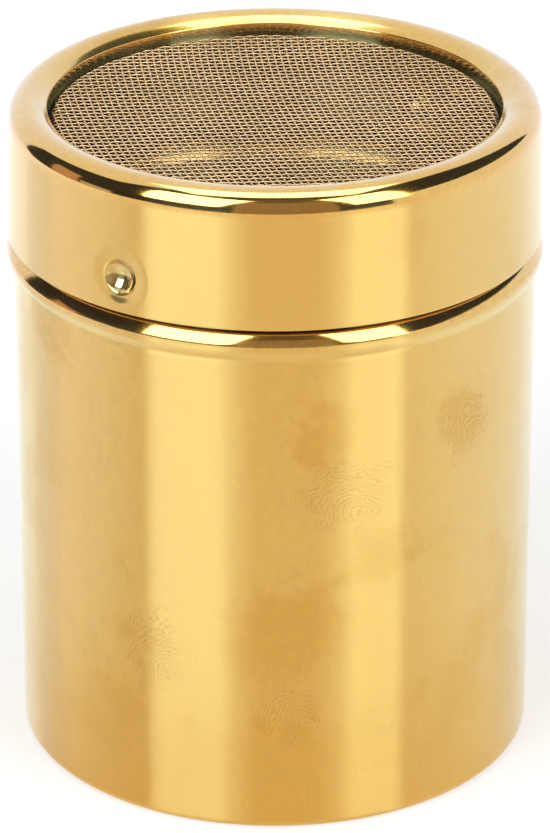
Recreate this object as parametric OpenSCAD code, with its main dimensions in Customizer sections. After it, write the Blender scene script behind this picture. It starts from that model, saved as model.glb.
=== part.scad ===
// Powder and spice shaker: a drawn steel can with a rolled bead, a slip-over lid ring that
// locks with two bayonet lugs, and a woven wire mesh that a pressed ring holds in the lid.
// The origin is the centre of the face that the can stands on, +Z is up, in millimetres.

/* [Can] */
// Outer diameter of the can's wall
can_d = 68.5; // [60:0.5:90]
// Thickness of the can's sheet
can_sheet = 0.6; // [0.4:0.05:0.8]
// Outer radius of the corner round the base
base_corner = 1.2; // [1:0.1:3]
// Width of the flat ring that the can stands on
foot_w = 3; // [2:0.1:6]
// How far the base panel is pushed in, so that only the ring touches
base_push = 0.9; // [0.5:0.1:2]
// Height of the can's rim above the table
neck_z = 83.9; // [70:0.1:120]
// How far the neck is smaller than the wall, on the radius
neck_step = 0.35; // [0.1:0.05:0.8]

/* [Bead] */
// Height of the bead's middle below the can's rim
bead_down = 14.6; // [13:0.1:18]
// How far the bead stands out of the wall
bead_out = 0.95; // [0.6:0.05:1.3]
// Radius of the bead's round back
bead_back = 2.5; // [1.8:0.05:2.8]
// Radius of the hollow rounds where the bead runs into the wall
bead_root = 0.8; // [0.3:0.1:1.2]

/* [Lid ring] */
// Thickness of the lid's sheet
lid_sheet = 0.5; // [0.4:0.05:0.6]
// Height of the skirt's inner edge above the bead below it
skirt_gap = 0.5; // [0.4:0.02:1]
// Gap between the neck and the skirt at the shoulder, on the radius
lid_clear = 0.38; // [0.2:0.02:0.6]
// How much wider the skirt is at its edge than at the shoulder, on the radius
skirt_flare = 0.22; // [0:0.02:0.4]
// Radius of the rounded outer shoulder
shoulder = 2.7; // [1.5:0.1:3]
// Width of the crown from the skirt to the mouth
crown_w = 5.28; // [4.5:0.02:8]
// Length of the straight lip below the crown's inner round
lip_straight = 2.12; // [1.4:0.02:3]

/* [Bayonet] */
// Direction of the first lug, turned from +X towards +Y
lug_angle = 236; // [0:1:359]
// Number of lugs round the skirt
lug_count = 2; // [2:1:4]
// Height of the lug's middle above the skirt's edge
lug_up = 4.8; // [4:0.1:6]
// Radius of the punch that presses the lug in
lug_ball = 2.5; // [2:0.1:3]
// Depth of the lug's hollow
lug_in = 1.6; // [1.4:0.1:2]
// Room between a lug and the sides of its slot
slot_clear = 0.35; // [0.2:0.05:0.8]
// Turn of the lid from open to locked
lock_turn = 16; // [10:1:30]

/* [Mesh] */
// Diameter of the mesh wire
wire_d = 0.24; // [0.2:0.01:0.3]
// Spacing of the wires that run from left to right
weft_pitch = 1.135; // [0.9:0.005:1.6]
// Spacing of the wires that run from front to back
warp_pitch = 0.885; // [0.8:0.005:1.6]
// Direction of the left to right wires, turned from +X
weft_angle = 4; // [0:1:45]
// Direction of the front to back wires, turned from +X
warp_angle = 100; // [80:1:135]
// Height of the mesh above its pressed edge
pan_h = 2.4; // [1.8:0.1:3]
// Width of the pan's rounded rim, where no more side wires fit
pan_rim = 1.6; // [1:0.1:3]
// Width of the pressed edge outside the mesh's wall
edge_w = 2.5; // [1.5:0.1:3]
// Gap between the mesh's wall and the lip
mesh_clear = 0.25; // [0.1:0.05:0.5]

/* [Mesh retainer] */
// Thickness of the retainer's sheet
retainer_sheet = 0.6; // [0.4:0.05:0.8]
// Height of the retainer's turned-up wall
retainer_h = 2; // [1.2:0.1:2.6]
// How far the retainer reaches in past the mesh's wall
retainer_in = 0.5; // [0.2:0.1:1.5]
// Running gap between the retainer and the skirt, on the radius
retainer_fit = 0.04; // [0.02:0.01:0.08]

/* [Hidden] */
$fn = 96;
wire_fn = 16;
// Widest angle between two points of a rounded profile
arc_step = 12;
// Length by which a cut runs past the solid that it opens
over = 1;
gold = [0.83, 0.64, 0.33];
wire_gold = [0.80, 0.68, 0.50];

// Radii of the can, its neck and its bead
can_r = can_d / 2;
neck_r = can_r - neck_step;
bead_z = neck_z - bead_down;
bead_c = can_r + bead_out - bead_back;
foot_in = can_r - base_corner - foot_w;

// Heights of the stack that rests on the can's rim: retainer, pressed mesh edge, lip, crown
edge_t = 2 * wire_d;
edge_z = neck_z + retainer_sheet;
lip_z = edge_z + edge_t;
lip_round = crown_w - shoulder;
crown_z = lip_z + lip_straight + lip_round;
shoulder_z = crown_z - shoulder;

// Radii of the lid, from the neck outwards
skirt_top_in = neck_r + lid_clear;
skirt_top_r = skirt_top_in + lid_sheet;
skirt_r = skirt_top_r + skirt_flare;
skirt_z = bead_z + sqrt(pow(bead_back, 2) - pow(skirt_r - lid_sheet - bead_c, 2)) + skirt_gap;
crown_r = skirt_top_r - shoulder;
mouth_r = skirt_top_r - crown_w;

// Outer radius of the skirt at a height
function skirt_at(z) = skirt_top_r + skirt_flare * (shoulder_z - z) / (shoulder_z - skirt_z);

// The lug is a ball of sheet, and the slot is as wide as the ball is where it enters the neck
lug_z = skirt_z + lug_up;
lug_c = skirt_at(lug_z) + lug_ball - lug_in;
lug_back = lug_ball + lid_sheet;
lug_half = sqrt(pow(lug_back, 2) - pow(lug_c - neck_r, 2));
slot_half = lug_half + slot_clear;

// The mesh is an upturned pan inside the mouth. The weft wires lie on its turned-down wall, and the
// warp wires lie on them.
pan_r = mouth_r - mesh_clear;
pan_in = pan_r - edge_t;
pan_z = lip_z + pan_h;
warp_z = pan_z - wire_d / 2;
weft_z = warp_z - wire_d;
wall_z = weft_z - wire_d / 2;

retainer_r = skirt_top_in - retainer_fit;

// Points of an arc about c, from one angle to another
function arc(c, r, from, to) =
    let (n = max(2, ceil(abs(to - from) / arc_step)))
    [for (i = [0 : n]) c + r * [cos(from + (to - from) * i / n), sin(from + (to - from) * i / n)]];

// The same points in the opposite order
function back_to_front(points) = [for (i = [len(points) - 1 : -1 : 0]) points[i]];

// Angle, seen from the bead's centre, at which its back runs into the round beside a wall of radius r
function run_out(r) = acos((r + bead_root - bead_c) / (bead_back + bead_root));

// Centre of the hollow round between the bead and a wall of radius r, below it (-1) or above it (1)
function root_centre(r, side) = [r + bead_root, bead_z + side * (bead_back + bead_root) * sin(run_out(r))];

// Profile of the can from the middle of its base to its rim, moved in by a distance
function can_side(inset) =
    let (slope = inset * tan(22.5))
    concat(
        [[0, base_push + inset], [foot_in - base_push + slope, base_push + inset], [foot_in + slope, inset]],
        arc([can_r - base_corner, base_corner], base_corner - inset, -90, 0),
        arc(root_centre(can_r, -1), bead_root + inset, 180, 180 - run_out(can_r)),
        arc([bead_c, bead_z], bead_back - inset, -run_out(can_r), run_out(neck_r)),
        arc(root_centre(neck_r, 1), bead_root + inset, 180 + run_out(neck_r), 180),
        [[neck_r - inset, neck_z]]
    );

// Profile of the lid from the skirt's edge over the crown to the lip's end, moved in by a distance
function lid_side(inset) =
    concat(
        [[skirt_r - inset, skirt_z]],
        arc([crown_r, shoulder_z], shoulder - inset, 0, 90),
        arc([crown_r, crown_z - lip_round], lip_round - inset, 90, 180),
        [[mouth_r + inset, lip_z]]
    );

// Puts one copy at each lug's place round the axis
module at_lugs() {
    for (i = [0 : lug_count - 1])
        rotate([0, 0, lug_angle + i * 360 / lug_count])
            children();
}

// Outline of one slot: a leg down from the rim for the lug, and a leg along which it locks
function slot_outline(open, lock) =
    concat(
        [[open - slot_half, neck_z + over], [open + slot_half, neck_z + over]],
        arc([open, lug_z], slot_half, 0, -90),
        arc([lock, lug_z], slot_half, -90, -270),
        [[open - slot_half, lug_z + slot_half]]
    );

// One L-shaped slot, punched straight through the neck from its middle's direction
module bayonet_slot() {
    reach = (neck_r - can_sheet / 2) * sin(lock_turn / 2);
    rotate([0, 0, -lock_turn / 2])
        translate([neck_r - lug_back, 0, 0])
            rotate([90, 0, 90])
                linear_extrude(2 * lug_back)
                    polygon(slot_outline(reach, -reach));
}

// Drawn steel cup with a bead, a base pushed in inside its foot ring, and slots in its neck
module can_body() {
    color(gold)
        difference() {
            rotate_extrude()
                polygon(concat(can_side(0), back_to_front(can_side(can_sheet))));
            at_lugs() bayonet_slot();
        }
}

// Pressed ring with a deep skirt, a rounded crown and a lip turned down into the mouth
module lid_shell() {
    color(gold)
        difference() {
            union() {
                rotate_extrude()
                    polygon(concat(lid_side(0), back_to_front(lid_side(lid_sheet))));
                at_lugs() lug_back_ball();
            }
            at_lugs()
                translate([lug_c, 0, lug_z])
                    sphere(lug_ball);
        }
}

// The round back of one lug, cut off inside the skirt's sheet
module lug_back_ball() {
    intersection() {
        translate([lug_c, 0, lug_z]) sphere(lug_back);
        cylinder(r = skirt_at(lug_z) - lid_sheet / 2, h = crown_z);
    }
}

// A family of parallel wires across the pan, as many as its flat top has room for, each cut off
// where it would pass the pan's wall
module wire_family(angle, pitch, height) {
    side_wires = floor((pan_r - pan_rim) / pitch);
    rotate([0, 0, angle])
        for (i = [-side_wires : side_wires]) {
            half = sqrt(pow(pan_r, 2) - pow(abs(i) * pitch + wire_d / 2, 2));
            translate([-half, i * pitch, height])
                rotate([0, 90, 0])
                    cylinder(d = wire_d, h = 2 * half, $fn = wire_fn);
        }
}

// Wires of the cloth that run from front to back, in the upper layer
module mesh_warp_wires() {
    color(wire_gold) wire_family(warp_angle, warp_pitch, warp_z);
}

// Wires of the cloth that run from left to right, in the lower layer
module mesh_weft_wires() {
    color(wire_gold) wire_family(weft_angle, weft_pitch, weft_z);
}

// The cloth's edge, turned down inside the lip and pressed flat under it with its wires squeezed
// together
module mesh_edge() {
    color(wire_gold)
        rotate_extrude()
            polygon([
                [pan_in, edge_z],
                [pan_r + edge_w, edge_z],
                [pan_r + edge_w, lip_z],
                [pan_r, lip_z],
                [pan_r, wall_z],
                [pan_in, wall_z]
            ]);
}

// Ring with a turned-up wall, pressed into the skirt below the mesh's edge
module mesh_retainer() {
    color(gold)
        translate([0, 0, neck_z])
            rotate_extrude()
                difference() {
                    translate([pan_in - retainer_in, 0])
                        square([retainer_r - pan_in + retainer_in, retainer_h]);
                    translate([pan_in - retainer_in - over, retainer_sheet])
                        square([retainer_r - retainer_sheet - pan_in + retainer_in + over, retainer_h]);
                }
}

can_body();
lid_shell();
mesh_warp_wires();
mesh_weft_wires();
mesh_edge();
mesh_retainer();
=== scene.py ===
import math

import bpy
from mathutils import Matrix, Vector


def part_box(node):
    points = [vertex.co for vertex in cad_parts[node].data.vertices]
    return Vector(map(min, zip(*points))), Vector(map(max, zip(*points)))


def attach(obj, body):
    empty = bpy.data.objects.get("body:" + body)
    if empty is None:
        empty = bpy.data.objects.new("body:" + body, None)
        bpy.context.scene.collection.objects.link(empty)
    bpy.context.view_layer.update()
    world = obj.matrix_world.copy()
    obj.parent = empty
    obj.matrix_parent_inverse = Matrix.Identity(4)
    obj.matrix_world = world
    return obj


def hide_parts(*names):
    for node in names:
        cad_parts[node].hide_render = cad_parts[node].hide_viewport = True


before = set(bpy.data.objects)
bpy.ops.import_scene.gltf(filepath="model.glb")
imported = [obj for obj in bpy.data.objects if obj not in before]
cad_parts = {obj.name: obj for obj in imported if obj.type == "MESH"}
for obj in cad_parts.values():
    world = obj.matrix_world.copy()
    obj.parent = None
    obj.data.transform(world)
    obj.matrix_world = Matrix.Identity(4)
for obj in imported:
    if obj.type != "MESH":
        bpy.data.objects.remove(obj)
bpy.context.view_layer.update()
mm = 0.001


# The camera stands a little more than half a metre in front of the shaker, with a long lens, and
# looks down on it at 25 degrees.
camera_down = 25.047
camera_data = bpy.data.cameras.new("camera")
camera_data.sensor_width = 36
camera_data.lens = 198.8
camera = bpy.data.objects.new("camera", camera_data)
camera.location = (0, -0.55683, 0.30383)
camera.rotation_euler = (math.radians(90 - camera_down), 0, 0)
bpy.context.scene.collection.objects.link(camera)
bpy.context.scene.camera = camera


# The can: a cup drawn from 0.6 mm steel sheet, with a bead rolled out of its wall to stop the lid. The
# bead is round below, and above it turns in sharply to a flatter slope. The base is pushed in, so
# that the can stands on a ring, and the rim is deburred.
can_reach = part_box("can_body")[1]
sheet = 0.6 * mm
wall_r = 34.25 * mm
neck_r = 33.9 * mm
rim_z = can_reach.z
base_corner = 1.2 * mm
foot_w = 3 * mm
foot_in = wall_r - base_corner - foot_w
base_push = 0.9 * mm
bead_down = 14.6 * mm
bead_z = rim_z - bead_down
bead_back = 2.5 * mm
back_root = 0.8 * mm
bead_nose = 0.8 * mm
nose_end = 31
bead_flank = 7.0 * mm
flank_root = 0.3 * mm


def out_from(centre, distance, turn):
    """The point of a profile at a distance from a centre, towards an angle in degrees."""
    a = math.radians(turn)
    return (centre[0] + distance * math.cos(a), centre[1] + distance * math.sin(a))


def arc(centre, radius, start, end, step=7):
    """Points of an arc in a profile, from one angle to another, in degrees."""
    count = max(2, math.ceil(abs(end - start) / step))
    return [out_from(centre, radius, start + (end - start) * i / count) for i in range(count + 1)]


def run(start, end, step):
    """Points between two ends of a straight stretch of a profile, both ends left out."""
    count = max(1, round(math.dist(start, end) / step))
    return [
        tuple(a + (b - a) * i / count for a, b in zip(start, end, strict=True))
        for i in range(1, count)
    ]


def turned(name, profile, angles, closed=False):
    """A mesh turned round +Z from a profile of (radius, height) points, with a column at each angle."""
    mesh = bpy.data.meshes.new(name)
    points = []
    rows = []
    for r, z in profile:
        if r == 0:
            rows.append([len(points)] * len(angles))
            points.append((0, 0, z))
        else:
            rows.append(range(len(points), len(points) + len(angles)))
            points += [(r * math.cos(a), r * math.sin(a), z) for a in angles]
    faces = []
    pairs = list(zip(rows, rows[1:] + rows[:1], strict=True))
    for low, high in pairs if closed else pairs[:-1]:
        for i in range(len(angles)):
            j = (i + 1) % len(angles)
            corners = [low[i], low[j], high[j], high[i]]
            faces.append(list(dict.fromkeys(corners)))
    mesh.from_pydata(points, [], faces)
    mesh.polygons.foreach_set("use_smooth", [True] * len(faces))
    piece = bpy.data.objects.new(name, mesh)
    bpy.context.scene.collection.objects.link(piece)
    return piece


def root_beside(wall, centre, back, root, side):
    """How a round back runs out into the hollow round beside a wall, below it (-1) or above it (1):
    the angle where they meet, in degrees, and the hollow round's centre."""
    turn = side * math.degrees(math.acos((wall + root - centre[0]) / (back + root)))
    return turn, out_from(centre, back + root, turn)


back_centre = (can_reach.x - bead_back, bead_z)
nose_centre = (can_reach.x - bead_nose, bead_z)
flank_centre = out_from(nose_centre, bead_nose - bead_flank, nose_end)
back_end, low_root_centre = root_beside(wall_r, back_centre, bead_back, back_root, -1)
flank_end, high_root_centre = root_beside(neck_r, flank_centre, bead_flank, flank_root, 1)


def can_side(inset):
    """Profile of the can's face from the middle of its base to just below its rim."""
    slope = inset * math.tan(math.radians(22.5))
    panel_end = (foot_in - base_push + slope, base_push + inset)
    foot_start = (foot_in + slope, inset)
    corner = arc((wall_r - base_corner, base_corner), base_corner - inset, -90, 0)
    low_root = arc(low_root_centre, back_root + inset, 180, 180 + back_end)
    back = arc(back_centre, bead_back - inset, back_end, 0, 5)
    nose = arc(nose_centre, bead_nose - inset, 0, nose_end, 4)
    flank = arc(flank_centre, bead_flank - inset, nose_end, flank_end, 3)
    high_root = arc(high_root_centre, flank_root + inset, 180 + flank_end, 180)
    top = (neck_r - inset, rim_z - sheet / 3)
    return [
        (0, base_push + inset),
        *run((0, base_push + inset), panel_end, 4 * mm),
        panel_end,
        foot_start,
        *corner,
        *run(corner[-1], low_root[0], 2 * mm),
        *low_root,
        *back[:-1],
        *nose[:-1],
        *flank,
        *high_root[1:],
        *run(high_root[-1], top, 0.8 * mm),
        top,
    ]


full_turn = 2 * math.pi
columns = 240
even_turn = [full_turn * i / columns for i in range(columns)]
rim_round = arc((neck_r - sheet / 2, rim_z - sheet / 2), sheet / 2, 30, 150, 20)
can = turned("can_shell", can_side(0) + rim_round + can_side(sheet)[::-1], even_turn)

# Two bayonet slots are punched through the neck: down from the rim, then round by 16 degrees.
lug_degrees = (236, 56)
lug_angles = [math.radians(turn) for turn in lug_degrees]
lug_up = 4.8 * mm
lug_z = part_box("lid_shell")[0].z + lug_up
slot_half = 2.64 * mm
lock_turn = math.radians(16)
slot_reach = (neck_r - sheet / 2) * math.sin(lock_turn / 2)
punch_stroke = 3 * mm


def slot_cutter(turn):
    """A prism with the outline of one L-shaped slot, standing out through the neck."""
    open_leg = arc((slot_reach, lug_z), slot_half, 0, -90, 10)
    lock_leg = arc((-slot_reach, lug_z), slot_half, -90, -270, 10)
    above = rim_z + 2 * mm
    outline = [(slot_reach - slot_half, above), (slot_reach + slot_half, above), *open_leg, *lock_leg]
    outline.append((slot_reach - slot_half, lug_z + slot_half))
    side = len(outline)
    depths = (neck_r - punch_stroke, neck_r + punch_stroke)
    points = [(depth, y, z) for depth in depths for y, z in outline]
    faces = [list(range(side)), list(range(2 * side - 1, side - 1, -1))]
    faces += [[i, side + i, side + (i + 1) % side, (i + 1) % side] for i in range(side)]
    mesh = bpy.data.meshes.new("slot_cutter")
    mesh.from_pydata(points, [], faces)
    cutter = bpy.data.objects.new("slot_cutter", mesh)
    cutter.rotation_euler.z = turn
    bpy.context.scene.collection.objects.link(cutter)
    return cutter


sharp_from = math.radians(35)
cutters = [slot_cutter(angle - lock_turn / 2) for angle in lug_angles]
for cutter in cutters:
    cut = can.modifiers.new("slot", "BOOLEAN")
    cut.operation = "DIFFERENCE"
    cut.object = cutter
graph = bpy.context.evaluated_depsgraph_get()
can.data = bpy.data.meshes.new_from_object(can.evaluated_get(graph))
can.modifiers.clear()
can.data.set_sharp_from_angle(angle=sharp_from)
for cutter in cutters:
    bpy.data.objects.remove(cutter)


class Value:
    """One socket of a finish, so that its sums are written as ordinary Python."""

    def __init__(self, finish, socket):
        self.finish = finish
        self.socket = socket

    def maths(self, operation, first, second):
        return self.finish.node("ShaderNodeMath", {"operation": operation}, {0: first, 1: second})

    def __add__(self, other):
        return self.maths("ADD", self, other)

    def __sub__(self, other):
        return self.maths("SUBTRACT", self, other)

    def __rsub__(self, other):
        return self.maths("SUBTRACT", other, self)

    def __mul__(self, other):
        return self.maths("MULTIPLY", self, other)

    def __pow__(self, other):
        return self.maths("POWER", self, other)

    __radd__ = __add__
    __rmul__ = __mul__


class Finish:
    """The nodes of a material, or of the room round the shaker."""

    def __init__(self, block):
        self.block = block
        self.block.use_nodes = True
        self.tree = self.block.node_tree
        self.tree.nodes.clear()

    def node(self, kind, settings=None, values=None, out=0):
        """Adds a node: its settings first, then the values or links of its sockets."""
        made = self.tree.nodes.new(kind)
        for name, setting in (settings or {}).items():
            setattr(made, name, setting)
        for name, value in (values or {}).items():
            if isinstance(value, Value):
                self.tree.links.new(value.socket, made.inputs[name])
            else:
                made.inputs[name].default_value = value
        return Value(self, made.outputs[out]) if made.outputs else None

    def noise(self, place, scale, detail=3, roughness=0.5, stretch=None):
        """Cloudy noise from 0 to 1 over a place in millimetres, drawn out by stretch."""
        if stretch:
            place = self.node("ShaderNodeVectorMath", {"operation": "MULTIPLY"}, {0: place, 1: stretch})
        values = {"Vector": place, "Scale": scale, "Detail": detail, "Roughness": roughness}
        return self.node("ShaderNodeTexNoise", {}, values)

    def step(self, value, low, high):
        """Rises smoothly from 0 where value is low to 1 where it is high."""
        values = {"Value": value, "From Min": low, "From Max": high}
        return self.node("ShaderNodeMapRange", {"interpolation_type": "SMOOTHSTEP"}, values)

    def band(self, value, low, high, below, above):
        """1 where value is between low and high, fading out over a stretch below and above them."""
        return self.step(value, low - below, low) * self.step(value, high + above, high)

    def mix(self, factor, first, second):
        """A colour between two others. The sockets' numbers are those of the node's colours."""
        return self.node("ShaderNodeMix", {"data_type": "RGBA"}, {0: factor, 6: first, 7: second}, 2)

    def finish(self, shader, output="ShaderNodeOutputMaterial"):
        """Puts the shader out as the surface, and returns the material."""
        self.node(output, {}, {"Surface": shader})
        return self.block


def spot(f, here, angle, height, wide, tall):
    """How far out a point lies in an oval place on the wall: 0 in its middle, 1 at its edge."""
    a = math.radians(angle)
    dot = {"operation": "DOT_PRODUCT"}
    sideways = (-math.sin(a) / wide, math.cos(a) / wide, 0)
    across = f.node("ShaderNodeVectorMath", dot, {0: here, 1: sideways}, "Value")
    up = f.node("ShaderNodeVectorMath", dot, {0: here, 1: (0, 0, 1 / tall)}, "Value") - height / tall
    ahead = f.node("ShaderNodeVectorMath", dot, {0: here, 1: (math.cos(a), math.sin(a), 0)}, "Value")
    other_side = f.step(ahead, 10, 0)
    return (across**2 + up**2) ** 0.5 + other_side * 9


# Places on the can's wall: angle in degrees, then height, half width and half height in millimetres.
stained = ((-80, 56, 6, 6), (-86, 31, 9, 6), (-66, 39, 6, 5), (-92, 9, 14, 7), (-45, 55, 5, 6))
fingered = ((-75, 48, 7, 5), (-45, 54.4, 5, 6), (-87, 18, 5, 5), (-118, 25, 5, 6), (118, 40, 5, 6))


def gold_finish(name, seed, handling, burnished, crevice_shade_zone, unpolished=(0, 1), bore=0, lip=0):
    """Gold coloured coating on polished steel, under a thin clear lacquer, with its heights and radii
    in millimetres. The polishing belt left fine grooves that run round the piece and spread light up
    and down. It didn't reach between the two heights of unpolished, and between those of burnished
    the grooves were rubbed away. Between the two heights of the crevice zone, within its radius, the
    colour is painted dark as shade in the crevice, and handling leaves stains, fingerprints and
    scratches. The bore, within a radius, is dull and painted dark as shade, and the lip, within
    another, is satin."""
    f = Finish(bpy.data.materials.new(name))
    metres = f.node("ShaderNodeTexCoord", out="Object")
    here = f.node("ShaderNodeVectorMath", {"operation": "SCALE"}, {0: metres, "Scale": 1 / mm})
    height = f.node("ShaderNodeSeparateXYZ", {}, {0: here}, "Z")
    flat = f.node("ShaderNodeVectorMath", {"operation": "MULTIPLY"}, {0: here, 1: (1, 1, 0)})
    radius = f.node("ShaderNodeVectorMath", {"operation": "LENGTH"}, {0: flat}, "Value")
    place = f.node("ShaderNodeVectorMath", {"operation": "ADD"}, {0: here, 1: (seed, 0, seed)})
    # Painted shade in the bore: it is made dark in colour as well as dull.
    dull_shaded_bore = f.step(radius, bore + 0.1, bore) * f.step(height, 1.0, 1.3)
    smooth = f.band(height, *burnished, 1.3, 1.3)
    satin = f.step(radius, lip + 0.1, lip - 0.9)
    dull = f.band(height, *unpolished, 1, 1)
    # Painted shade: between the crevice heights, within its radius, the colour is made dark and the
    # lacquer thin.
    crevice_shade = f.band(height, *crevice_shade_zone[:2], 0.7, 0.6) * f.step(radius, crevice_shade_zone[2] + 0.5, crevice_shade_zone[2])

    grain = f.noise(place, 5.0, 2, 0.6)
    speckle = f.noise(place, 1.4, 4, 0.65)
    cloud = f.noise(place, 0.055, 6, 0.6)
    blot = f.noise(place, 0.24, 7, 0.75)
    grooves = f.noise(place, 1.0, 3, 0.6, (0.2, 0.2, 9))
    ripple = f.noise(place, 0.45, 2, 0.5)

    # Stains: where hands hold the can. Towards its foot the wall is also painted redder and darker, as
    # painted reflected shade of the shaded table near the foot.
    stain_and_shade = f.step(cloud + speckle * 0.1, 0.54, 0.74)
    for angle, up, wide, tall in stained:
        ragged = spot(f, here, angle, up, wide, tall) + (blot - 0.5) * 3.2
        stain_and_shade = stain_and_shade + f.step(ragged, 1.2, 0.3)
    # Painted reflected shade: redder and darker towards the foot.
    foot_shade = f.step(height, 45, -5) * 1.1
    stain_and_shade = f.step(stain_and_shade + speckle * 0.7 + foot_shade, 0.35, 1.65) * handling

    # Fingerprints: rings round a whorl that lies below the middle of the print.
    ridges = 0.0
    for angle, up, wide, tall in fingered:
        whorl = spot(f, here, angle + 4, up - 0.6 * tall, wide, tall * 1.2)
        wavy = (whorl + cloud * 2.2 + grain * 0.02) * 75
        rings = f.node("ShaderNodeMath", {"operation": "SINE"}, {0: wavy})
        ragged = spot(f, here, angle, up, wide, tall) + (blot - 0.5) * 2.5
        ridges = ridges + f.step(rings + speckle, 0.2, 1.2) * f.step(ragged, 1.1, 0.6)
    print_mark = ridges * handling
    fleck = f.step(f.noise(place, 0.9, 3, 0.7), 0.66, 0.72) * f.step(cloud, 0.42, 0.6) * handling

    # Scratches: thin lines where a drawn-out noise passes through one level, upright and slanted.
    upright = f.noise(place, 1.0, 2, 0.6, (0.9, 0.9, 0.035))
    turned_place = f.node("ShaderNodeMapping", {}, {"Vector": place, "Rotation": (0.3, 0.85, 0.2)})
    slanted = f.noise(turned_place, 1.0, 2, 0.6, (1.1, 1.1, 0.05))
    lines = f.step((upright - 0.56) ** 2, 8e-5, 1e-5) + f.step((slanted - 0.6) ** 2, 5e-5, 1e-5)
    scratch = lines * f.step(speckle + cloud, 1.0, 1.15) * handling

    # Colour: the coating is redder where it is stained and towards its foot, where that is painted
    # reflected shade, browner where it is marked, and rubbed pale on the lugs. Painted shade darkens it in
    # the crevices and the bore.
    stained_and_shaded = f.mix(stain_and_shade * 0.85, (0.86, 0.447, 0.028, 1), (0.74, 0.33, 0.005, 1))
    mottle = f.step(f.noise(place, 1.1, 5, 0.75), 0.3, 0.7) - 0.5
    brown = print_mark * 0.3 + fleck * 0.6 + mottle * handling * 0.45 + 0.35
    marked = f.mix(brown, stained_and_shaded, (0.50, 0.22, 0.02, 1))
    lugs = {i: spot(f, here, turn, lug_z / mm, 1, 1) for i, turn in enumerate(lug_degrees)}
    lug_away = f.node("ShaderNodeMath", {"operation": "MINIMUM"}, lugs)
    rubbed = f.mix(f.step(lug_away, 2.7, 1.9) * 0.6, marked, (0.48, 0.36, 0.16, 1))
    # Painted shade: the crevices and the bore turn dark brown.
    painted_shade = f.node("ShaderNodeMath", {"operation": "MAXIMUM"}, {0: crevice_shade * 0.9, 1: dull_shaded_bore})
    marked_and_shaded = f.mix(painted_shade, rubbed, (0.2, 0.15, 0.10, 1))

    relief = grooves * 0.5 + speckle * 0.3 + scratch * 0.4 + print_mark * 0.4 + ripple * 6
    bump = f.node("ShaderNodeBump", {}, {"Height": relief, "Strength": 0.1, "Distance": 0.01 * mm})
    mirror = f.node(
        "ShaderNodeBsdfPrincipled",
        {},
        {
            "Base Color": marked_and_shaded,
            "Metallic": 1.0,
            "Roughness": 0.09 + stain_and_shade * 0.06 + dull_shaded_bore * 0.45 + print_mark * 0.05 + satin * 0.08,
            "Normal": bump,
            "Coat Weight": 1.0 - crevice_shade * 0.7 - dull_shaded_bore * 0.8 - stain_and_shade * 0.45 - print_mark * 0.2,
            "Coat Roughness": 0.06,
            "Coat IOR": 1.85,
        },
    )

    # The grooves' haze takes a share of the surface, and none where the metal is burnished.
    haze = f.node(
        "ShaderNodeBsdfAnisotropic",
        {"distribution": "BECKMANN"},
        {"Color": (0.95, 0.80, 0.28, 1), "Roughness": 0.37, "Anisotropy": 0.82, "Normal": bump},
    )
    haze_share = 0.29
    lug_smooth = f.step(lug_away, 3.2, 1.6) * 0.45
    burnish = f.node("ShaderNodeMath", {"operation": "MAXIMUM"}, {0: smooth, 1: lug_smooth})
    share = haze_share + cloud * 0.06 + scratch * 0.06 - stain_and_shade * 0.03 - print_mark * 0.05
    share = share - burnish * haze_share - dull_shaded_bore * 0.2 + dull * 0.08 + satin * 0.08
    mixed = f.node("ShaderNodeMixShader", {}, {0: share, 1: mirror, 2: haze})
    return f.finish(mixed)


can_gold = gold_finish(
    "gold_can",
    3,
    handling=1.0,
    burnished=(70.0, 72.6),
    # Painted shade in the crevice under the lid's skirt, and in the can's bore.
    crevice_shade_zone=(71.3, 71.9, 34.2),
    unpolished=(67.2, 68.6),
    bore=33.75,
)
can.data.materials.clear()
can.data.materials.append(can_gold)
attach(can, "can")
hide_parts("can_body")


# The retainer: a thin ring with a turned-up wall, pressed into the lid's skirt below the mesh.
# It keeps its shape from the frame, with smooth rounds and crisp edges, and shows when the lid is off.
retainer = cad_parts["mesh_retainer"]
retainer.data.materials.clear()
retainer_gold = gold_finish("gold_retainer", 11, handling=0.3, burnished=(84.3, 99), crevice_shade_zone=(0, 1, 40))
retainer.data.materials.append(retainer_gold)
retainer.data.polygons.foreach_set("use_smooth", [True] * len(retainer.data.polygons))
retainer.data.set_sharp_from_angle(angle=sharp_from)


# The lid ring: 0.5 mm sheet, pressed to a deep skirt that flares a little, a rounded crown and a lip
# that turns down into the mouth. The crown slopes down to the mouth and turns into it sharply. Two
# lugs are punched in through the skirt and ride in the can's slots.
lid_sheet = 0.5 * mm
lid_low, lid_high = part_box("lid_shell")
skirt_r = lid_high.x
skirt_flare = 0.22 * mm
skirt_top_r = skirt_r - skirt_flare
shoulder = 2.7 * mm
shoulder_z = lid_high.z - shoulder
crown_w = 5.28 * mm
crown_in = crown_w - shoulder
crown_r = skirt_top_r - shoulder
crown_round = 3.2 * mm
mouth_r = skirt_top_r - crown_w
mouth_round = 0.35 * mm
mouth_slope = 40
lip_straight = 2.12 * mm
lip_z = lid_high.z - crown_in - lip_straight
steep = math.radians(mouth_slope)
slope_in = crown_in - crown_round * math.sin(steep) - mouth_round * (1 - math.sin(steep))
slope_start = lid_high.z - crown_round + (crown_round - mouth_round) * math.cos(steep)
mouth_z = slope_start - slope_in * math.tan(steep)
punch_r = 2.5 * mm
punch_depth = 1.6 * mm
punch_blend = 0.36 * mm
punch_reach = 4.4 * mm


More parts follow.
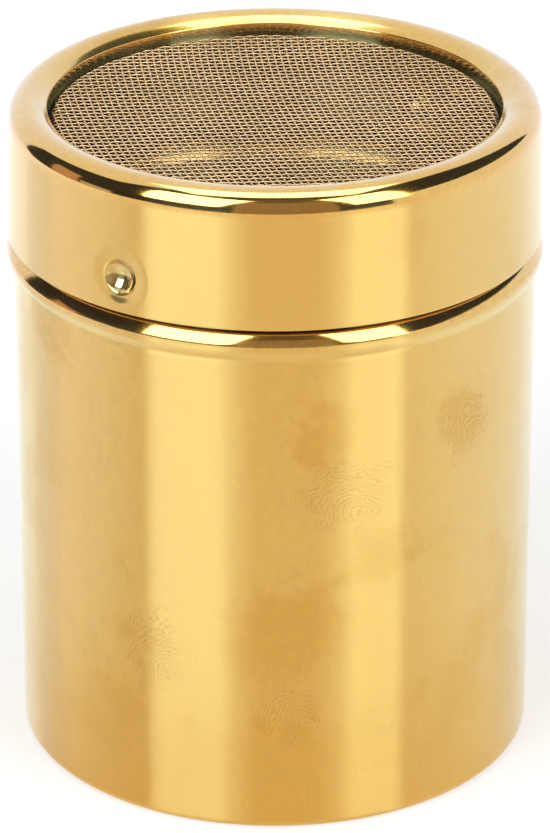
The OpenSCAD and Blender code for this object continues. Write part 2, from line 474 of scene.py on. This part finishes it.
def lid_side(inset):
    """Profile of the lid's face from just above the skirt's edge over the crown to the lip's end."""
    edge = (skirt_r - inset, lid_low.z + lid_sheet / 2)
    start, end = [
        (skirt_top_r - inset + skirt_flare * (shoulder_z - z) / (shoulder_z - lid_low.z), z)
        for z in (lug_z - punch_reach, lug_z + punch_reach)
    ]
    outer = arc((crown_r, shoulder_z), shoulder - inset, 0, 90, 5)
    inner = arc((crown_r, lid_high.z - crown_round), crown_round - inset, 90, 90 + mouth_slope, 5)
    mouth = arc((mouth_r + mouth_round, mouth_z), mouth_round - inset, 90 + mouth_slope, 180, 5)
    tip = (mouth_r + inset, lip_z + lid_sheet / 2)
    return [
        edge,
        start,
        *run(start, end, 0.15 * mm),
        end,
        *run(end, outer[0], 1 * mm),
        *outer,
        *inner[1:],
        *run(inner[-1], mouth[0], 0.3 * mm),
        *mouth,
        *run(mouth[-1], tip, 0.6 * mm),
        tip,
    ]


def punched(x):
    """Depth of the lug's hollow at a distance from its middle: a ball, blended into the sheet."""
    ball = math.sqrt(max(punch_r**2 - x**2, (0.3 * punch_r) ** 2)) - (punch_r - punch_depth)
    soft = (ball + math.sqrt(ball**2 + (2 * punch_blend) ** 2)) / 2
    fade = min(1, max(0, (punch_reach - x) / (punch_reach - 0.75 * punch_r)))
    return soft * fade * fade * (3 - 2 * fade)


# Extra columns stand close together across the lugs, and any that all but coincide become one.
lug_span = punch_reach / skirt_r
lug_columns = 24
lid_angles = set(even_turn)
for lug in lug_angles:
    lid_angles |= {lug + lug_span * i / lug_columns for i in range(-lug_columns, lug_columns + 1)}
lid_angles = sorted(a % full_turn for a in lid_angles)
next_angles = lid_angles[1:] + [2 * full_turn]
lid_angles = [a for a, b in zip(lid_angles, next_angles, strict=True) if b - a > 1e-3]
edge_round = arc((skirt_r - lid_sheet / 2, lid_low.z + lid_sheet / 2), lid_sheet / 2, 210, 330, 20)
tip_round = arc((mouth_r + lid_sheet / 2, lip_z + lid_sheet / 2), lid_sheet / 2, 210, 330, 20)
lid_profile = lid_side(0) + tip_round + lid_side(lid_sheet)[::-1] + edge_round
lid = turned("lid_ring", lid_profile, lid_angles, closed=True)
for vertex in lid.data.vertices:
    r = math.hypot(vertex.co.x, vertex.co.y)
    if r < crown_r or abs(vertex.co.z - lug_z) > punch_reach:
        continue
    for lug in lug_angles:
        across = r * math.sin(math.atan2(vertex.co.y, vertex.co.x) - lug)
        ahead = vertex.co.x * math.cos(lug) + vertex.co.y * math.sin(lug) > 0
        away = math.hypot(across, vertex.co.z - lug_z)
        if ahead and away < punch_reach:
            vertex.co -= Vector((math.cos(lug), math.sin(lug), 0)) * punched(away)
lid_gold = gold_finish(
    "gold_lid",
    7,
    handling=0.6,
    burnished=(87.6, 99),
    # Painted shade down in the mouth, at the foot of the lip.
    crevice_shade_zone=(80, 87.7, 30.0),
    lip=31.9,
)
lid.data.materials.append(lid_gold)
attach(lid, "lid")
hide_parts("lid_shell")


# The mesh: plain woven wire cloth, pressed to an upturned pan in the lid's mouth. Each wire passes
# over and under the wires that cross it, bends down at the pan's rim and stands on the pressed edge.
# The cloth lies a little askew in the lid, and its front-to-back wires are bowed sideways.
wire_d = 0.24 * mm
crimp = 0.05 * mm
pressed_w = 2.5 * mm
cloth_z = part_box("mesh_warp_wires")[1].z - wire_d
pan_bend = 0.86 * mm
pan_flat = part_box("mesh_edge")[1].x - pressed_w - wire_d - pan_bend
warp_pitch = 0.885 * mm
weft_pitch = 1.135 * mm
warp_lean = math.radians(10.6)
warp_bow = 2.44
weft_lean = math.radians(4)
cloth_r = pan_flat + pan_bend * math.pi / 2 + cloth_z - pan_bend - lip_z


def on_warp(x, y):
    """Which warp wire runs through a point of the flat cloth, as a number: whole on a wire."""
    return (x + math.tan(warp_lean) * y - warp_bow * y * y) * math.cos(warp_lean) / warp_pitch


def on_weft(x, y):
    """The same for the weft wires."""
    return (y - math.tan(weft_lean) * x) * math.cos(weft_lean) / weft_pitch


def pressed(x, y, lift):
    """Place on the pan of a point of the flat cloth, lifted off it by a distance."""
    r = math.hypot(x, y)
    past = r - pan_flat
    if past <= 0:
        return Vector((x, y, cloth_z + lift))
    turn = min(past / pan_bend, math.pi / 2)
    down = pan_bend * (1 - math.cos(turn)) + max(0, past - pan_bend * math.pi / 2)
    out = pan_flat + (pan_bend + lift) * math.sin(turn)
    return Vector((x / r * out, y / r * out, cloth_z - down + lift * math.cos(turn)))


def warp_line(i):
    """Points of one warp wire, from front to back."""
    base = i * warp_pitch / math.cos(warp_lean)
    line = []
    step = weft_pitch / 4
    count = int(2 * cloth_r / step)
    for k in range(count + 1):
        y = -cloth_r + k * step
        x = base - math.tan(warp_lean) * y + warp_bow * y * y
        if math.hypot(x, y) < cloth_r:
            line.append(pressed(x, y, crimp * math.cos(math.pi * (on_weft(x, y) + i))))
    return line


def weft_line(j):
    """Points of one weft wire, from left to right."""
    base = j * weft_pitch / math.cos(weft_lean)
    line = []
    step = warp_pitch / 4
    count = int(2 * cloth_r / step)
    for k in range(count + 1):
        x = -cloth_r + k * step
        y = base + math.tan(weft_lean) * x
        if math.hypot(x, y) < cloth_r:
            line.append(pressed(x, y, -crimp * math.cos(math.pi * (on_warp(x, y) + j))))
    return line


def wire_mesh(name, lines, radius, sides=8):
    """One mesh of round wires along lists of points, with closed ends."""
    points = []
    faces = []
    for line in lines:
        first = len(points)
        side_way = None
        for i, p in enumerate(line):
            ahead = (line[min(i + 1, len(line) - 1)] - line[max(i - 1, 0)]).normalized()
            if side_way is None:
                side_way = ahead.cross(Vector((0, 0, 1))).normalized()
            side_way = (side_way - ahead * side_way.dot(ahead)).normalized()
            up = side_way.cross(ahead)
            for k in range(sides):
                a = full_turn * k / sides
                points.append(p + (side_way * math.cos(a) + up * math.sin(a)) * radius)
        for i in range(len(line) - 1):
            for k in range(sides):
                low = first + i * sides
                n = (k + 1) % sides
                faces.append((low + k, low + n, low + sides + n, low + sides + k))
        faces.append([first + k for k in range(sides)][::-1])
        faces.append([len(points) - sides + k for k in range(sides)])
    mesh = bpy.data.meshes.new(name)
    mesh.from_pydata(points, [], faces)
    mesh.polygons.foreach_set("use_smooth", [True] * len(faces))
    piece = bpy.data.objects.new(name, mesh)
    bpy.context.scene.collection.objects.link(piece)
    return piece


def wire_finish():
    """Drawn wire with a pale gold coating, dulled by fine die marks, and painted dark down in the lid as
    shade.
    """
    f = Finish(bpy.data.materials.new("mesh_wire"))
    metres = f.node("ShaderNodeTexCoord", out="Object")
    place = f.node("ShaderNodeMapping", {}, {"Vector": metres, "Scale": (1 / mm,) * 3})
    grain = f.noise(place, 6, 3)
    cloud = f.noise(place, 0.08, 3)
    height = f.node("ShaderNodeSeparateXYZ", {}, {0: place}, "Z")
    unshaded_colour = f.mix(f.step(cloud, 0.3, 0.7), (0.77, 0.50, 0.24, 1), (0.65, 0.42, 0.19, 1))
    unshaded_above = 87.25
    shaded_below = 86.85
    # Painted shade: low down in the lid, where the pan bends to the lip, the wire turns dark and stops
    # being metal.
    low_shade = f.step(height, unshaded_above, shaded_below)
    colour = f.mix(low_shade, unshaded_colour, (0.07, 0.035, 0.015, 1))
    bump = f.node("ShaderNodeBump", {}, {"Height": grain, "Strength": 0.2, "Distance": 0.01 * mm})
    shader = f.node(
        "ShaderNodeBsdfPrincipled",
        {},
        {"Base Color": colour, "Metallic": 1.0 - low_shade, "Roughness": 0.36 + grain * 0.15, "Normal": bump},
    )
    return f.finish(shader)


wire_look = wire_finish()
spare_wires = 4
reach = math.ceil(cloth_r / warp_pitch) + spare_wires
shortest = 4
families = {
    "mesh_warp_wires": [warp_line(i) for i in range(-reach, reach + 1)],
    "mesh_weft_wires": [weft_line(j) for j in range(-reach, reach + 1)],
}
for node_name, lines in families.items():
    kept = [line for line in lines if len(line) >= shortest]
    woven = wire_mesh(node_name.replace("mesh", "woven"), kept, wire_d / 2)
    woven.data.materials.append(wire_look)
    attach(woven, "lid")
    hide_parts(node_name)


# The cloth's edge: under the lip the same wires are pressed flat to a ring, so close that they look
# solid. The retainer clamps it against the end of the lip.
edge_low, edge_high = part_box("mesh_edge")
edge_past_lip = 0.73 * mm
edge_in = mouth_r - edge_past_lip
edge_soft = 0.1 * mm
edge_profile = []
for x, z, start in (
    (edge_high.x - edge_soft, edge_low.z + edge_soft, -90),
    (edge_high.x - edge_soft, lip_z - edge_soft, 0),
    (edge_in + edge_soft, lip_z - edge_soft, 90),
    (edge_in + edge_soft, edge_low.z + edge_soft, 180),
):
    edge_profile += arc((x, z), edge_soft, start, start + 90, 30)
pressed_edge = turned("pressed_edge", edge_profile, even_turn, closed=True)
# The edge takes the wires' finish and lies below their shaded height, so it is painted dark as shade.
pressed_edge.data.materials.append(wire_look)
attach(pressed_edge, "lid")
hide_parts("mesh_edge")


# The studio's lamps: a soft box overhead and one on each side of the camera. Each is given by the
# span of azimuth and elevation, in degrees, that it fills as seen from the shaker.
target = Vector((0, 0, 0.085))


def toward(azimuth, elevation):
    """Direction seen from the shaker: azimuth from the front towards the right, in degrees."""
    a = math.radians(azimuth)
    e = math.radians(elevation)
    return Vector((math.sin(a) * math.cos(e), -math.cos(a) * math.cos(e), math.sin(e)))


def soft_box(name, azimuth, elevation, colour, distance=1.0, wide=None):
    """A rectangular lamp that fills a span of azimuth and elevation, or has a width of its own."""
    away = toward(sum(azimuth) / 2, sum(elevation) / 2)
    lamp = bpy.data.lights.new(name, "AREA")
    lamp.shape = "RECTANGLE"
    flat = math.hypot(away.x, away.y)
    lamp.size = wide or 2 * distance * math.tan(math.radians(azimuth[1] - azimuth[0]) / 2) * flat
    lamp.size_y = 2 * distance * math.tan(math.radians(elevation[1] - elevation[0]) / 2)
    level = max(colour)
    lamp.color = [c / level for c in colour]
    lamp.energy = level * math.pi * lamp.size * lamp.size_y
    placed = bpy.data.objects.new(name, lamp)
    placed.location = target + away * distance
    placed.rotation_mode = "QUATERNION"
    placed.rotation_quaternion = away.to_track_quat("Z", "Y")
    placed.visible_camera = False
    bpy.context.scene.collection.objects.link(placed)


soft_box("overhead", (0, 0), (75, 106), (3.2, 3.65, 4.5), distance=0.8, wide=0.66)
soft_box("left", (-60, -19), (15, 58), (4.2, 4.9, 6.0))
soft_box("right", (30, 60), (15, 58), (4.3, 4.6, 5.2))


# The studio's sheets: a white table that ends in front of the shaker and on its left, and, for the
# metal to mirror, a bright wall behind it with a sloping roof and a bright wall on the right.
def studio_paint(name, front, back, lit, left=None):
    """Paint that the metal sees in one colour at the front, another at the back and a third on the
    left, that the camera sees white, and that takes the shaker's shadow as far as it is lit."""
    f = Finish(bpy.data.materials.new(name))
    metres = f.node("ShaderNodeTexCoord", out="Object")
    flat = f.node("ShaderNodeVectorMath", {"operation": "MULTIPLY"}, {0: metres, 1: (1, 1, 0)})
    away = f.node("ShaderNodeVectorMath", {"operation": "NORMALIZE"}, {0: flat})
    beside = f.node("ShaderNodeSeparateXYZ", {}, {0: away}, "X")
    behind = f.node("ShaderNodeSeparateXYZ", {}, {0: away}, "Y")
    colour = f.mix(f.step(behind, -0.95, -0.1), front, back)
    colour = f.mix(f.step(beside, 0, -0.6) * f.step(behind, -0.6, 0), colour, left or back)
    camera_ray = f.node("ShaderNodeLightPath", out="Is Camera Ray")
    mirrored = f.node("ShaderNodeLightPath", out="Is Glossy Ray")
    colour = f.mix(camera_ray, colour, (1.2, 1.2, 1.2, 1))
    seen = f.node("ShaderNodeMath", {"operation": "MAXIMUM"}, {0: camera_ray, 1: mirrored})
    distance = f.node("ShaderNodeVectorMath", {"operation": "LENGTH"}, {0: flat}, "Value")
    shaded = f.step(distance, 0.3, 0.05) * lit
    paint = f.node("ShaderNodeBsdfDiffuse", {}, {"Color": (0.95, 0.85, 0.69, 1)})
    glow = f.node("ShaderNodeEmission", {}, {"Color": colour, "Strength": 1.0})
    mixed = f.node("ShaderNodeMixShader", {}, {0: seen * (1 - shaded), 1: paint, 2: glow})
    return f.finish(mixed)


def studio_sheet(name, corners, finish, mirrored_only=False):
    """A flat sheet between its corners, which isn't part of the shaker."""
    mesh = bpy.data.meshes.new(name)
    mesh.from_pydata(corners, [], [list(range(len(corners)))])
    mesh.materials.append(finish)
    made = bpy.data.objects.new(name, mesh)
    bpy.context.scene.collection.objects.link(made)
    if mirrored_only:
        made.visible_camera = False
        made.visible_shadow = False
        made.visible_diffuse = False


def plain_paint(name, colour):
    """Paint of one colour for a sheet that only the metal sees."""
    return studio_paint(name, colour, colour, 0.0)


# Painted light: the table's warm front colour, seen only as the metal mirrors it, stands for the golden
# glow the can throws on the table near it.
table_front_glow = (1.06, 0.97, 0.76, 1)
table_back = (1.15, 1.22, 1.42, 1)
table_left = (1.24, 1.33, 1.56, 1)
table = studio_paint("table_white", table_front_glow, table_back, 0.5, table_left)
table_edge = [(-0.54, -0.42, 0), (1.2, -0.42, 0), (1.2, 1.2, 0), (-1.75, 1.2, 0), (-0.54, 0.28, 0)]
studio_sheet("table", table_edge, table)

backdrop = plain_paint("backdrop_white", (1.04, 1.18, 1.40, 1))
back_wall = [(-1.45, 1, 0), (1.02, 1, 0), (1.02, 1, 1), (-1.45, 1, 1)]
roof = [(-1.45, 1, 1), (1.02, 1, 1), (0.6, 0.59, 1.254), (0.6, -0.05, 1.65), (-1.45, -0.05, 1.65)]
right_wall = [(1.2, -1.05, -0.2), (1.2, 1.2, -0.2), (1.2, 1.2, 0.44), (1.2, -1.05, 0.8)]
studio_sheet("back_wall", back_wall, backdrop, True)
studio_sheet("roof", roof, backdrop, True)
studio_sheet("right_wall", right_wall, backdrop, True)

# Also only for the metal: a reddish and a pale card on the left, and the dim screen behind the camera.
card_x = -0.8
grey = plain_paint("card_grey", (0.64, 0.44, 0.40, 1))
grey_card = [(card_x, -0.04, -0.03), (card_x, 0.185, -0.03), (card_x, 0.185, 0.36), (card_x, -0.04, 0.33)]
studio_sheet("grey_card", grey_card, grey, True)
pale = plain_paint("card_pale", (0.62, 0.66, 0.75, 1))
pale_card = [(card_x, -0.3, -0.03), (card_x, -0.06, -0.03), (card_x, -0.06, 0.12), (card_x, -0.3, 0.10)]
studio_sheet("pale_card", pale_card, pale, True)
screen_away = 1.4
for name, low, high, colour in (
    ("screen_low", -12, 45, (0.37, 0.30, 0.25, 1)),
    ("screen_high", 45, 64, (0.16, 0.13, 0.12, 1)),
):
    turns = ((-17, low), (26, low), (26, high), (-17, high))
    corners = [target + screen_away * toward(azimuth, elevation) for azimuth, elevation in turns]
    studio_sheet(name, corners, plain_paint(name, colour), True)

# The room beyond is dark where the metal mirrors it, and white to the camera.
room = Finish(bpy.data.worlds.new("room"))
camera_ray = room.node("ShaderNodeLightPath", out="Is Camera Ray")
dark = room.node("ShaderNodeBackground", {}, {"Color": (0.036, 0.034, 0.055, 1)})
white = room.node("ShaderNodeBackground", {}, {"Color": (1, 1, 1, 1)})
sky = room.node("ShaderNodeMixShader", {}, {0: camera_ray, 1: dark, 2: white})
bpy.context.scene.world = room.finish(sky, "ShaderNodeOutputWorld")
bpy.context.scene.view_settings.view_transform = "Standard"
